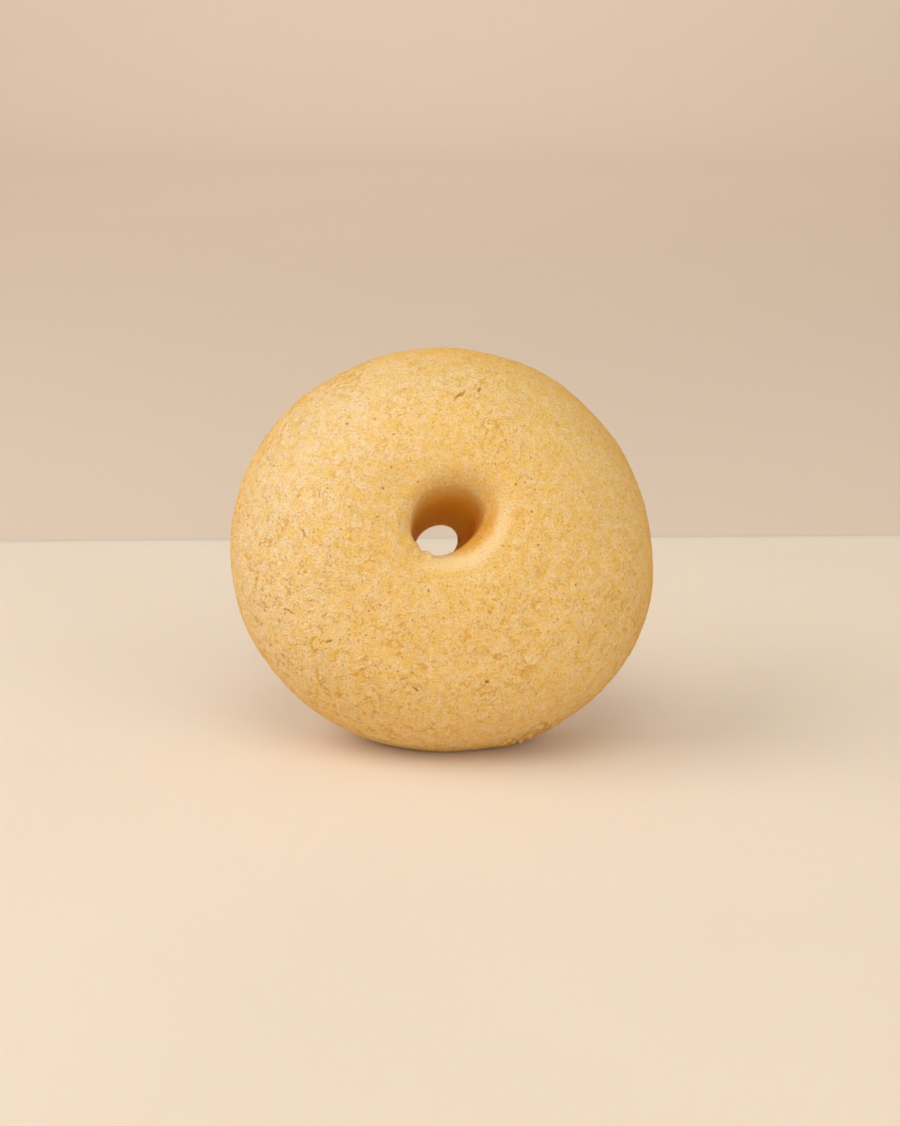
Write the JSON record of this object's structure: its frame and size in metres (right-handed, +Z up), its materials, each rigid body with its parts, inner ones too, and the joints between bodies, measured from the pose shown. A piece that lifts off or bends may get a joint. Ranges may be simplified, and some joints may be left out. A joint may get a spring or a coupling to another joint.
{
  "type": "shortbread cookie",
  "caption": "Thick round shortbread cookie with a domed pale golden face, a flat baked underside and a slanting funnel-shaped hole, standing on its edge.",
  "frame": {"origin": "middle of the bottom of the bounding box, on the small flat spot the cookie stands on", "axes": "+Z up, the domed face looks along -Y and leans back 9 degrees, the flat underside is towards +Y, +X runs to the right across the face"},
  "size_m": [0.0762, 0.0348, 0.0708],
  "materials": {
    "baked_dough": "dry, matte and finely crumbly, pale golden with fine darker pores"
  },
  "bodies": {
    "root": {"cookie": "baked_dough"}
  },
  "joints": []
}
